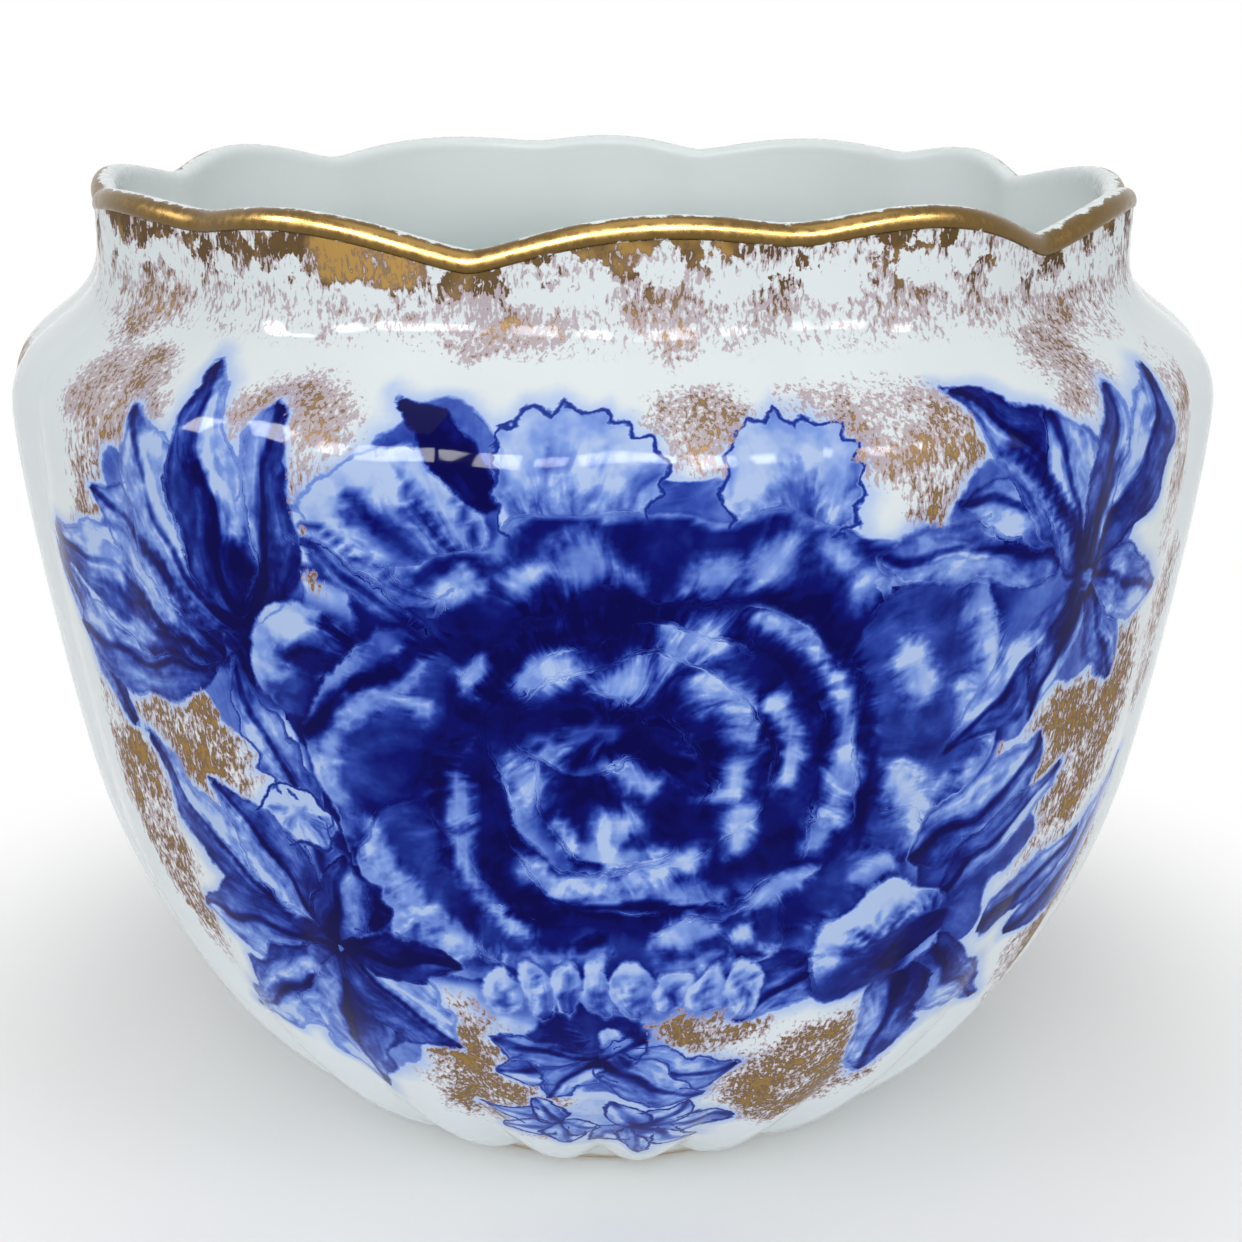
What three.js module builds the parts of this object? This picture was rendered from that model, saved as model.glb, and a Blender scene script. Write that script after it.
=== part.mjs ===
// Scalloped and fluted earthenware jardiniere: a pressed wall that is open at the bottom, the
// floor luted into it, the turned ring that both stand on, and the rounded lip round the mouth.
// Sizes are in millimetres and angles in degrees. +Z is up and the front faces -Y. The origin is
// on the axis, at the height of the surface that the foot stands on.
import * as THREE from 'three';

// Outline of the wall, measured over the crests of its flutes
const RIM_HEIGHT = 235.6; // mean height of the lip's scalloped top edge
const NECK_HEIGHT = 221.4; // where the neck starts to run straight up
const NECK_RADIUS = 124.3;
const SHOULDER_HEIGHT = 188;
const SHOULDER_RADIUS = 145;
const BELLY_HEIGHT = 94.4; // where the deep lower curve meets the long upper one
const BELLY_RADIUS = 131;
const BELLY_LEAN = 14.6; // from upright
const TUCK_HEIGHT = 8; // where the flutes turn in under the pot
const TUCK_RADIUS = 73;
const TUCK_SLOPE = 33; // from level

// How far each curve of the outline runs on before it bends, as a share of its span
const TUCK_PULL = 0.356;
const BELLY_PULL_DOWN = 0.316;
const BELLY_PULL_UP = 0.158;
const SHOULDER_PULL_DOWN = 0.2;
const SHOULDER_PULL_UP = 0.5;
const NECK_PULL = 0.43;

// Wall, floor and foot
const WALL_THICKNESS = 5.5;
const FLOOR_THICKNESS = 6.5;
const FOOT_HEIGHT = 6;
const FOOT_RADIUS = 60;
const FOOT_WIDTH = 10;
const FOOT_ROUNDING = 1.8;
const WALL_SEAT = 4; // width of the wall's seat on the foot ring
const WALL_TOE = 3; // how far the wall's flat underside stands out past the foot ring
const JOINT_GAP = 0.3; // clearance between pieces that meet on a curved face

// Lip
const LIP_HEIGHT = 4.4;
const LIP_FLARE = 0.8; // how far its outer side stands proud of the neck

// Flutes: two to each scallop of the rim, with a sharp seam between neighbours
const FLUTES_PER_SCALLOP = 2;
const STEPS_PER_FLUTE = 6;
const FLUTE_DEPTH_FOOT = 6.4;
const FLUTE_DEPTH_BODY = 0.8;
const FLUTE_DEPTH_SHOULDER = 1.9;
const FLUTE_FADE = 30; // height over which the deep flutes at the foot die away
const SHOULDER_BAND = 26; // half height of the band in which the shoulder's flutes deepen
const INNER_FLUTE_SHARE = 0.7; // how much of each flute the inside of the wall repeats
const FIRST_SEAM_AT_FOOT = -47.6; // measured from the front, positive to the right

// Scallops of the rim, as the hand-finished lip has them: the angle of each valley from the
// front, its height against the mean rim, and the rise of the lobe that follows it
const SCALLOPS = [
  { valley: -43.4, height: -0.4, rise: 4.0 },
  { valley: -12.7, height: -5.2, rise: 4.2 },
  { valley: 16.7, height: -0.3, rise: 5.0 },
  { valley: 46.6, height: -5.8, rise: 4.5 },
  { valley: 80, height: -2.0, rise: 3.8 },
  { valley: 114.5, height: -3.6, rise: 3.8 },
  { valley: 136, height: 0.4, rise: 3.0 },
  { valley: 167.5, height: -0.7, rise: 2.4 },
  { valley: 190.5, height: 1.9, rise: 2.6 },
  { valley: 222, height: -1.2, rise: 4.9 },
  { valley: 253, height: -1.5, rise: 3.8 },
  { valley: 285, height: -1.5, rise: 2.5 },
];
const VALLEY_ROUNDING = 0.22; // 0 would leave each valley sharp
const SCALLOP_REACH = 22; // how far below the lip its wave still lifts and lowers the neck
const RIM_PINCH = 2.8; // how far each valley is drawn in towards the axis
const PINCH_REACH = 46; // how far below the lip the folds under the valleys run out

const FULL_TURN = 360;
const SEGMENTS = SCALLOPS.length * FLUTES_PER_SCALLOP * STEPS_PER_FLUTE;
const WALL_TOP = RIM_HEIGHT - LIP_HEIGHT;
const FLOOR_TOP = FOOT_HEIGHT + FLOOR_THICKNESS;
const WALL_BORE = FOOT_RADIUS - WALL_SEAT;

// Position round the pot, counted in scallops: whole numbers are the valleys of the rim
function valleyAngle(index) {
  const turns = Math.floor(index / SCALLOPS.length);
  return SCALLOPS[index - turns * SCALLOPS.length].valley + turns * FULL_TURN;
}

function scallopAt(around) {
  const index = Math.floor(around) % SCALLOPS.length;
  return { here: SCALLOPS[index], next: SCALLOPS[(index + 1) % SCALLOPS.length], share: around % 1 };
}

// The seams run from an even spacing at the foot to the valleys of the rim
function seamAngle(around, z) {
  const index = Math.floor(around);
  const atRim = THREE.MathUtils.lerp(valleyAngle(index), valleyAngle(index + 1), around - index);
  const atFoot = FIRST_SEAM_AT_FOOT + (around * FULL_TURN) / SCALLOPS.length;
  return THREE.MathUtils.lerp(atFoot, atRim, THREE.MathUtils.clamp(z / RIM_HEIGHT, 0, 1));
}

// One lobe between two valleys: from 0 through 1 to 0, with the valleys rounded
function lobe(share) {
  const rounding = VALLEY_ROUNDING;
  return (Math.hypot(Math.sin(Math.PI * share), rounding) - rounding) / (Math.hypot(1, rounding) - rounding);
}

// Height of the rim's edge against its mean
function rimWave(around) {
  const { here, next, share } = scallopAt(around);
  return THREE.MathUtils.lerp(here.height, next.height, share) + here.rise * lobe(share);
}

function rimPinch(around) {
  return RIM_PINCH * (1 - lobe(scallopAt(around).share));
}

function fluteDepth(z) {
  const aboveTuck = Math.max(z - TUCK_HEIGHT, 0);
  const atFoot = (FLUTE_DEPTH_FOOT - FLUTE_DEPTH_BODY) * Math.exp(-aboveTuck / FLUTE_FADE);
  const fromShoulder = (z - SHOULDER_HEIGHT) / SHOULDER_BAND;
  const atShoulder = (FLUTE_DEPTH_SHOULDER - FLUTE_DEPTH_BODY) * Math.exp(-fromShoulder * fromShoulder);
  return FLUTE_DEPTH_BODY + atFoot + atShoulder;
}

// Turns a point of the profile to its place round the pot. The point's flute weight says how
// deep the flutes are pressed there. Up the neck they give way to the folds of the scallops.
function place(point, around) {
  const wave = THREE.MathUtils.smoothstep(point.y, WALL_TOP - SCALLOP_REACH, WALL_TOP);
  const fold = THREE.MathUtils.smoothstep(point.y, WALL_TOP - PINCH_REACH, WALL_TOP);
  const seam = 1 - Math.abs(Math.sin(Math.PI * FLUTES_PER_SCALLOP * around));
  const pressed = point.flute * fluteDepth(point.y) * seam * (1 - fold);
  const radius = point.x - pressed - fold * rimPinch(around);
  const angle = THREE.MathUtils.degToRad(seamAngle(around, point.y));
  const z = point.y + wave * rimWave(around);
  return new THREE.Vector3(radius * Math.sin(angle), -radius * Math.cos(angle), z);
}

// Revolves a closed profile and presses the flutes and scallops into it
function fluted(profile) {
  const geometry = new THREE.LatheGeometry(profile, SEGMENTS);
  const position = geometry.getAttribute('position');
  for (let segment = 0; segment <= SEGMENTS; segment += 1) {
    const around = ((segment % SEGMENTS) / SEGMENTS) * SCALLOPS.length;
    profile.forEach((point, index) => {
      const { x, y, z } = place(point, around);
      position.setXYZ(segment * profile.length + index, x, y, z);
    });
  }
  geometry.computeVertexNormals();
  return geometry;
}

function profilePoint(x, y, flute = 1) {
  const point = new THREE.Vector2(x, y);
  point.flute = flute;
  return point;
}

// The wall's outline from the tuck to the neck, as one smooth run of curves
function wallCurves() {
  const tuck = new THREE.Vector2(TUCK_RADIUS, TUCK_HEIGHT);
  const belly = new THREE.Vector2(BELLY_RADIUS, BELLY_HEIGHT);
  const shoulder = new THREE.Vector2(SHOULDER_RADIUS, SHOULDER_HEIGHT);
  const neck = new THREE.Vector2(NECK_RADIUS, NECK_HEIGHT);
  const slope = THREE.MathUtils.degToRad(TUCK_SLOPE);
  const lean = THREE.MathUtils.degToRad(BELLY_LEAN);
  const tuckWay = new THREE.Vector2(Math.cos(slope), Math.sin(slope));
  const bellyWay = new THREE.Vector2(Math.sin(lean), Math.cos(lean));
  const up = new THREE.Vector2(0, 1);
  const bend = (from, fromWay, fromPull, to, toWay, toPull) => {
    const reach = from.distanceTo(to);
    const first = from.clone().addScaledVector(fromWay, fromPull * reach);
    const last = to.clone().addScaledVector(toWay, -toPull * reach);
    return new THREE.CubicBezierCurve(from, first, last, to);
  };
  return {
    lower: bend(tuck, tuckWay, TUCK_PULL, belly, bellyWay, BELLY_PULL_DOWN),
    upper: bend(belly, bellyWay, BELLY_PULL_UP, shoulder, up, SHOULDER_PULL_DOWN),
    collar: bend(shoulder, up, SHOULDER_PULL_UP, neck, up, NECK_PULL),
  };
}

// Points along the outline, set in by the given distance square to it
function along({ lower, upper, collar }, inset, steps, flute) {
  const runs = [[lower, steps.lower], [upper, steps.upper], [collar, steps.collar]];
  return runs.flatMap(([curve, count], run) => {
    const first = run === 0 ? 0 : 1;
    return Array.from({ length: count + 1 - first }, (_, index) => {
      const share = (index + first) / count;
      const point = curve.getPoint(share);
      const way = curve.getTangent(share);
      return profilePoint(point.x - inset * way.y, point.y + inset * way.x, flute);
    });
  });
}

function wall() {
  const curves = wallCurves();
  const outside = along(curves, 0, { lower: 7, upper: 4, collar: 6 }, 1);
  const inside = along(curves, WALL_THICKNESS, { lower: 5, upper: 2, collar: 4 }, INNER_FLUTE_SHARE);
  const aboveFloor = inside.filter((point) => point.y > FLOOR_TOP + WALL_THICKNESS);
  const floorEdge = aboveFloor[0].x - WALL_THICKNESS * 2;
  const toe = FOOT_RADIUS + WALL_TOE;
  const profile = [
    profilePoint(WALL_BORE, FOOT_HEIGHT, 0),
    profilePoint(toe, FOOT_HEIGHT, 0),
    profilePoint((toe + TUCK_RADIUS) / 2, FOOT_HEIGHT + (TUCK_HEIGHT - FOOT_HEIGHT) / 4, 0.6),
    ...outside,
    profilePoint(NECK_RADIUS, WALL_TOP),
    profilePoint(NECK_RADIUS - WALL_THICKNESS, WALL_TOP),
    ...aboveFloor.reverse(),
    profilePoint(floorEdge, FLOOR_TOP, 0),
    profilePoint(WALL_BORE, FLOOR_TOP, 0),
  ];
  return fluted([...profile, profile[0]]);
}

// A low rounded edge over the top of the wall, fuller on the outside
function lip() {
  const outer = NECK_RADIUS;
  const inner = NECK_RADIUS - WALL_THICKNESS;
  const seat = WALL_TOP + JOINT_GAP;
  const crown = new THREE.Vector2((inner + outer + LIP_FLARE) / 2, RIM_HEIGHT);
  const outerSide = new THREE.CubicBezierCurve(
    new THREE.Vector2(outer, seat),
    new THREE.Vector2(outer + LIP_FLARE * 1.5, seat + LIP_HEIGHT * 0.1),
    new THREE.Vector2(outer + LIP_FLARE, RIM_HEIGHT),
    crown,
  );
  const innerSide = new THREE.CubicBezierCurve(
    crown,
    new THREE.Vector2(inner + LIP_FLARE / 2, RIM_HEIGHT),
    new THREE.Vector2(inner, RIM_HEIGHT - LIP_HEIGHT * 0.3),
    new THREE.Vector2(inner, seat),
  );
  const section = [...outerSide.getPoints(4), ...innerSide.getPoints(3).slice(1)];
  const profile = section.map((point) => profilePoint(point.x, point.y));
  return fluted([...profile, profile[0]]);
}

// Plain turned pieces, revolved about the upright axis
function turned(profile) {
  const points = profile.map(([x, y]) => new THREE.Vector2(x, y));
  return new THREE.LatheGeometry(points, SEGMENTS / 2).rotateX(Math.PI / 2);
}

function footRing() {
  const inner = FOOT_RADIUS - FOOT_WIDTH;
  const rounding = Math.min(FOOT_ROUNDING, FOOT_WIDTH / 3, FOOT_HEIGHT / 2);
  const corner = rounding * (1 - Math.SQRT1_2);
  return turned([
    [inner, FOOT_HEIGHT],
    [inner, rounding],
    [inner + corner, corner],
    [inner + rounding, 0],
    [FOOT_RADIUS - rounding, 0],
    [FOOT_RADIUS - corner, corner],
    [FOOT_RADIUS, rounding],
    [FOOT_RADIUS, FOOT_HEIGHT],
    [inner, FOOT_HEIGHT],
  ]);
}

function floorBat() {
  const edge = WALL_BORE - JOINT_GAP;
  return turned([
    [0, FOOT_HEIGHT],
    [edge, FOOT_HEIGHT],
    [edge, FLOOR_TOP],
    [0, FLOOR_TOP],
  ]);
}

function piece(name, geometry, color, roughness, metalness) {
  const mesh = new THREE.Mesh(geometry, new THREE.MeshStandardMaterial({ color, roughness, metalness }));
  mesh.name = name;
  return mesh;
}

const jardiniere = new THREE.Group();
jardiniere.add(piece('body_wall', wall(), 0x8f9fd0, 0.12, 0));
jardiniere.add(piece('gilt_lip', lip(), 0xb98a3a, 0.28, 1));
jardiniere.add(piece('floor_bat', floorBat(), 0xd6deda, 0.15, 0));
jardiniere.add(piece('foot_ring', footRing(), 0xd9d3c4, 0.8, 0));

export default jardiniere;
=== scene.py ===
import math

import bmesh
import bpy
import numpy as np
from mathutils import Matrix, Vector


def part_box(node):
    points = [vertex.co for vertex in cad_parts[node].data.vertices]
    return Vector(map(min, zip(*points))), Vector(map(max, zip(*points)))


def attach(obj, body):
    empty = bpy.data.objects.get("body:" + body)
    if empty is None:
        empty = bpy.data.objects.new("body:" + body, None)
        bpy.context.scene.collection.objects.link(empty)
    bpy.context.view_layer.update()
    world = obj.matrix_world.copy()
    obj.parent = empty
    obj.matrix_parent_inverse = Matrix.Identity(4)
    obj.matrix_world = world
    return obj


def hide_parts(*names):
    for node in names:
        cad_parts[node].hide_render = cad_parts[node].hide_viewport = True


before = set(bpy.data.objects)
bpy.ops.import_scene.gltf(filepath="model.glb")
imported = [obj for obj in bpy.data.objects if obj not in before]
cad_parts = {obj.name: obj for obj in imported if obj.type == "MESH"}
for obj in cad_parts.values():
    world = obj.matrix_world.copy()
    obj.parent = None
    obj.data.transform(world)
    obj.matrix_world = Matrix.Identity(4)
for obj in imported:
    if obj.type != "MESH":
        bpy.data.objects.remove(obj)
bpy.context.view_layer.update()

# Sizes are in millimetres and turned to metres where a mesh is made. Angles round the pot are in
# degrees from the front, positive to the right.
MM = 0.001
scene = bpy.context.scene
scene.view_settings.view_transform = "Standard"

# The camera stands in front of the pot, a little above its rim, and looks down into the mouth.
CAMERA_PLACE = (0, -0.480, 0.2701)
CAMERA_DIP = 17.14
camera = bpy.data.objects.new("camera", bpy.data.cameras.new("camera"))
scene.collection.objects.link(camera)
camera.location = CAMERA_PLACE
camera.rotation_euler = (math.radians(90 - CAMERA_DIP), 0, 0)
camera.data.lens = 55.91
camera.data.shift_x = 0.00725
scene.camera = camera

# The pot's wall: white earthenware pressed in a fluted mould, open at the bottom where the floor
# is luted in. It carries the blue print under the glaze and the sponged gilding over it.
WALL_TOP = 231.2
RIM_HEIGHT = 235.6
NECK = np.array([124.3, 221.4])
SHOULDER_HEIGHT = 188.0
BELLY = np.array([131.0, 94.4])
BELLY_LEAN = 14.6
TUCK = np.array([73.0, 8.0])
TUCK_SLOPE = 33.0
THICKNESS = 5.5
FOOT_HEIGHT = 6.0
FLOOR_TOP = 12.5
WALL_BORE = 56.0
WALL_TOE = 63.0
UP = np.array([0.0, 1.0])
low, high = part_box("body_wall")
SHOULDER = np.array([min(-low.x, -low.y, high.x, high.y) / MM, SHOULDER_HEIGHT])


def cubic(start, first, last, end, steps):
    """Points along a curve from start to end that is drawn towards first and then towards last."""
    start, first, last, end = (np.array(point) for point in (start, first, last, end))
    t = np.linspace(0, 1, steps + 1)[:, None]
    early = (1 - t) ** 3 * start + 3 * (1 - t) ** 2 * t * first
    return early + 3 * (1 - t) * t * t * last + t ** 3 * end


def bend(start, start_way, start_pull, end, end_way, end_pull, steps):
    """Points and directions along a curve that leaves start and reaches end the given ways."""
    span = np.linalg.norm(end - start)
    first = start + start_way * start_pull * span
    last = end - end_way * end_pull * span
    points = cubic(start, first, last, end, steps)
    t = np.linspace(0, 1, steps + 1)[:, None]
    ways = (1 - t) ** 2 * (first - start) + 2 * (1 - t) * t * (last - first) + t * t * (end - last)
    return points, ways / np.linalg.norm(ways, axis=1)[:, None]


def wall_outline(lower, upper, collar):
    """The outline from the tuck to the neck, with that many steps in each of its curves."""
    slope, lean = math.radians(TUCK_SLOPE), math.radians(BELLY_LEAN)
    tuck_way = np.array([math.cos(slope), math.sin(slope)])
    belly_way = np.array([math.sin(lean), math.cos(lean)])
    curves = [
        bend(TUCK, tuck_way, 0.356, BELLY, belly_way, 0.316, lower),
        bend(BELLY, belly_way, 0.158, SHOULDER, UP, 0.2, upper),
        bend(SHOULDER, UP, 0.5, NECK, UP, 0.43, collar),
    ]
    points = np.vstack([curves[0][0], curves[1][0][1:], curves[2][0][1:]])
    ways = np.vstack([curves[0][1], curves[1][1][1:], curves[2][1][1:]])
    return points, ways


# Each row of the section: radius, height, how deep the flutes are pressed, and 1 on the outside
INSIDE_PRESS = 0.7
COVE_START = 3
COVE_STEP = 5
section = [
    (WALL_BORE, FOOT_HEIGHT, 0, 0), (WALL_TOE, FOOT_HEIGHT, 0, 0),
    (65.5, FOOT_HEIGHT + 0.15, 0.3, 0), (68, FOOT_HEIGHT + 0.5, 0.6, 0),
]
section += [(radius, height, 1, 1) for radius, height in wall_outline(64, 62, 28)[0]]
section += [(NECK[0], height, 1, 1) for height in np.linspace(NECK[1], WALL_TOP, 8)[1:]]
neck_heights = np.linspace(WALL_TOP, NECK[1], 4)[:-1]
section += [(NECK[0] - THICKNESS, height, INSIDE_PRESS, 0) for height in neck_heights]
inner, inner_ways = wall_outline(15, 10, 9)
inner = inner + THICKNESS * np.stack([-inner_ways[:, 1], inner_ways[:, 0]], 1)
inner = [point for point in inner[::-1] if point[1] > FLOOR_TOP + COVE_START]
section += [(radius, height, INSIDE_PRESS, 0) for radius, height in inner]
cove = inner[-1][0] - COVE_STEP
section += [
    (cove, FLOOR_TOP + 0.8, 0.3, 0), (cove - COVE_STEP, FLOOR_TOP, 0, 0), (WALL_BORE, FLOOR_TOP, 0, 0),
]

# The rim's twelve scallops: the angle of each valley, its height against the mean rim, and the
# rise of the lobe that follows it
SCALLOPS = np.array([
    (-43.4, -0.4, 4.0), (-12.7, -5.2, 4.2), (16.7, -0.3, 5.0), (46.6, -5.8, 4.5),
    (80, -2.0, 3.8), (114.5, -3.6, 3.8), (136, 0.4, 3.0), (167.5, -0.7, 2.4),
    (190.5, 1.9, 2.6), (222, -1.2, 4.9), (253, -1.5, 3.8), (285, -1.5, 2.5),
])
COLUMNS = 480
FIRST_SEAM_AT_FOOT = -47.6
CREASE = 0.1
LOBE_ROUNDING = 0.22
FLUTE_DEPTH = 0.8
TUCK_FLUTE, TUCK_FADE = 5.6, 30
SHOULDER_FLUTE, SHOULDER_FADE = 1.1, 26
VALLEY_DEPTH = 2.8
FOLD_REACH = 46
SCALLOP_REACH = 22


def smooth(value, start, end):
    """0 before start and 1 after end, with an even bend between."""
    share = np.clip((value - start) / (end - start), 0, 1)
    return share * share * (3 - 2 * share)


def rounded_lobe(wave, rounding):
    """1 at the heights of a wave and 0 at its zeros, where the crease is rounded off."""
    return (np.hypot(wave, rounding) - rounding) / (math.hypot(1, rounding) - rounding)


def press(radius, height, depth, azimuth):
    """Angle, radius and height of points of a plain turned wall once it is fluted and scalloped."""
    count = len(SCALLOPS)
    around = (azimuth * count / 360) % count
    index = np.floor(around).astype(int) % count
    share = around - np.floor(around)
    here, after = SCALLOPS[index], SCALLOPS[(index + 1) % count]
    next_valley = after[:, 0] + np.where(index == count - 1, 360, 0)
    at_rim = here[:, 0] + (next_valley - here[:, 0]) * share
    at_foot = FIRST_SEAM_AT_FOOT + around * 360 / count
    angle = at_foot + (at_rim - at_foot) * np.clip(height / RIM_HEIGHT, 0, 1)
    lobe = rounded_lobe(np.sin(math.pi * share), LOBE_ROUNDING)
    wave = here[:, 1] + (after[:, 1] - here[:, 1]) * share + here[:, 2] * lobe
    seam = 1 - rounded_lobe(np.sin(2 * math.pi * around), CREASE)
    flute = FLUTE_DEPTH + TUCK_FLUTE * np.exp(-np.maximum(height - TUCK[1], 0) / TUCK_FADE)
    flute += SHOULDER_FLUTE * np.exp(-(((height - SHOULDER_HEIGHT) / SHOULDER_FADE) ** 2))
    fold = smooth(height, WALL_TOP - FOLD_REACH, WALL_TOP)
    pressed = radius - depth * flute * seam * (1 - fold) - fold * VALLEY_DEPTH * (1 - lobe)
    return angle, pressed, height + smooth(height, WALL_TOP - SCALLOP_REACH, WALL_TOP) * wave


def turn_on_wheel(name, section, columns):
    """A mesh object turned from a closed section in millimetres. Its vertices keep each row's press
    and side, where the row gives them, and the way round the section up to the row."""
    shape = bmesh.new()
    extras = [shape.verts.layers.float.new(extra) for extra in ("depth", "outside", "arc")]
    verts = []
    arc = 0.0
    for row, (radius, height, *marks) in enumerate(section):
        vert = shape.verts.new((radius * MM, 0, height * MM))
        if row:
            arc += math.dist(section[row - 1][:2], (radius, height))
        for layer, mark in zip(extras, [*marks, arc] if marks else [0, 0, arc]):
            vert[layer] = mark
        verts.append(vert)
    edges = [shape.edges.new(pair) for pair in zip(verts, verts[1:] + verts[:1])]
    bmesh.ops.spin(shape, geom=verts + edges, cent=(0, 0, 0), axis=(0, 0, 1), dvec=(0, 0, 0),
                   angle=2 * math.pi, steps=columns, use_merge=True, use_duplicate=False)
    bmesh.ops.remove_doubles(shape, verts=shape.verts, dist=1e-6)
    bmesh.ops.recalc_face_normals(shape, faces=shape.faces)
    for face in shape.faces:
        face.smooth = True
    mesh = bpy.data.meshes.new(name)
    shape.to_mesh(mesh)
    shape.free()
    piece = bpy.data.objects.new(name, mesh)
    scene.collection.objects.link(piece)
    return piece


def read(data, key, width=1):
    """The values that a mesh stores under key, with one row for each item of the given width."""
    values = np.empty(len(data) * width, np.float32)
    data.foreach_get(key, values)
    return values.reshape(-1, width) if width > 1 else values


def press_mesh(mesh):
    """Presses flutes and scallops into a turned mesh, and gives each vertex's angle and radius."""
    co = read(mesh.vertices, "co", 3).astype(float) / MM
    azimuth = np.degrees(np.arctan2(co[:, 0], -co[:, 1]))
    depth = read(mesh.attributes["depth"].data, "value")
    angle, radius, height = press(np.hypot(co[:, 0], co[:, 1]), co[:, 2], depth, azimuth)
    turned = np.radians(angle)
    co = np.stack([radius * np.sin(turned), -radius * np.cos(turned), height], 1) * MM
    mesh.vertices.foreach_set("co", co.astype(np.float32).ravel())
    mesh.update()
    return angle, radius


wall = turn_on_wheel("printed_wall", section, COLUMNS)
mesh = wall.data
angle, radius = press_mesh(mesh)
mesh.set_sharp_from_angle(angle=math.radians(50))

# The blue print is laid motif over motif on the corners of the wall's faces. A face keeps its
# ground and up to three motifs whose outlines cross it. Each has six values at every corner: the
# place in the motif's own grain (three), how dark the ink is, how much the grain frays it, and
# how it is penned: how strongly its outline is drawn, and 1 more where it has a midrib. Beside
# these lies the depth inside the motif's outline, in millimetres, so that the glaze can draw the
# outline as a crisp line. BARE stands for a corner that no outline crosses, FAR for one that no
# motif comes near, and BLEED is how far noise may shift an outline.
MOTIFS = 3
BARE = -9.0
FAR = -30.0
BLEED = 1.6
HAZE_REACH = 9.0
GRAIN_APART = 41.3
corner = np.empty(len(mesh.loops), np.int32)
mesh.loops.foreach_get("vertex_index", corner)
corner = corner.reshape(-1, 4)
outside = read(mesh.attributes["outside"].data, "value")
arc = read(mesh.attributes["arc"].data, "value").astype(float)
printed = np.nonzero(outside[corner].min(1) > 0.5)[0]
CORNER_ANGLE = angle[corner[printed]]
CORNER_ARC = arc[corner[printed]]
CORNER_RADIUS = radius[corner[printed]]
FACE_ANGLE = CORNER_ANGLE[:, 0]
FACE_ARC = CORNER_ARC.mean(1)
FACE_RADIUS = CORNER_RADIUS.mean(1)
outer_heights = np.array([row[1] for row in section if row[3] == 1])
outer_arcs = np.unique(arc[outside > 0.5].round(3))
paint = np.zeros((1 + MOTIFS, len(printed), 4, 6))
TONE, FRAY, PEN = 3, 4, 5
edge = np.full((1 + MOTIFS, len(printed), 4), BARE)
near = np.full((len(printed), 4), FAR)
motif_count = 0

# The hand that cut the print wandered: how far each place is pulled sideways and up, in millimetres
turned = np.radians(CORNER_ANGLE)
WANDER_RIGHT = 1.2 * np.sin(17 * turned + CORNER_ARC / 8)
WANDER_RIGHT += 0.8 * np.sin(34 * turned - CORNER_ARC / 4.6 + 1)
WANDER_RIGHT += 0.45 * np.sin(61 * turned + CORNER_ARC / 2.6 + 2)
WANDER_UP = 1.1 * np.sin(19 * turned - CORNER_ARC / 7 + 4)
WANDER_UP += 0.8 * np.sin(38 * turned + CORNER_ARC / 4.1)
WANDER_UP += 0.45 * np.sin(57 * turned - CORNER_ARC / 2.9 + 5)


def arc_at(height):
    return np.interp(height, outer_heights, outer_arcs)


def radius_at(height):
    return np.interp(height, outer_heights, [row[0] for row in section if row[3] == 1])


def shortest(turn):
    return (turn + 180) % 360 - 180


def offsets(spot, reach):
    """The faces within reach of a spot, and how far their corners lie right of it and above it."""
    aside = FACE_RADIUS * np.radians(shortest(FACE_ANGLE - spot[0]))
    faces = np.nonzero(np.hypot(aside, FACE_ARC - arc_at(spot[1])) < reach)[0]
    right = CORNER_RADIUS[faces] * np.radians(shortest(CORNER_ANGLE[faces] - spot[0]))
    up = CORNER_ARC[faces] - arc_at(spot[1])
    return faces, right + WANDER_RIGHT[faces], up + WANDER_UP[faces]


def lay(faces, depth, grain, tone, fray, pen):
    """Lays a motif over what is painted on these faces so far. Where a face has no room for one
    more outline, its oldest motif sinks into the ground."""
    global motif_count
    motif_count += 1
    near[faces] = np.maximum(near[faces], depth)
    flat = np.ones(depth.shape)
    ink = np.stack([*(value * flat for value in grain), tone * flat, fray * flat, pen * flat], -1)
    whole = depth.min(1) > BLEED
    paint[0, faces[whole]] = ink[whole]
    edge[1:, faces[whole]] = BARE
    partial = (depth.max(1) > -BLEED) & ~whole
    crossed = faces[partial]
    used = (edge[1:, crossed].max(2) > BARE).sum(0)
    sinking = crossed[used == MOTIFS]
    covering = sinking[edge[1, sinking].mean(1) > 0]
    paint[0, covering] = paint[1, covering]
    paint[1:-1, sinking] = paint[2:, sinking]
    edge[1:-1, sinking] = edge[2:, sinking]
    slots = np.minimum(used, MOTIFS - 1) + 1
    paint[slots, crossed] = ink[partial]
    edge[slots, crossed] = depth[partial]


def shade(faces, depth, strength, width):
    """Darkens what lies just outside a motif, as the shadow under a petal."""
    fall = strength * np.exp(np.minimum(depth, 0) / width)
    for layer in paint:
        layer[faces, :, TONE] += (1 - layer[faces, :, TONE]) * fall


def blade_frame(base, tip, reach, bow=0.0):
    """Faces near the line from base to tip, and how far along and across it their corners lie."""
    aside = radius_at(tip[1]) * math.radians(shortest(tip[0] - base[0]))
    rise = arc_at(tip[1]) - arc_at(base[1])
    run = math.hypot(aside, rise)
    faces, right, up = offsets(base, run + reach)
    along = (right * aside + up * rise) / run
    share = np.clip(along / run, 0, 1)
    across = (right * rise - up * aside) / run - bow * run * 4 * share * (1 - share)
    return faces, run, along, across, share


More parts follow.
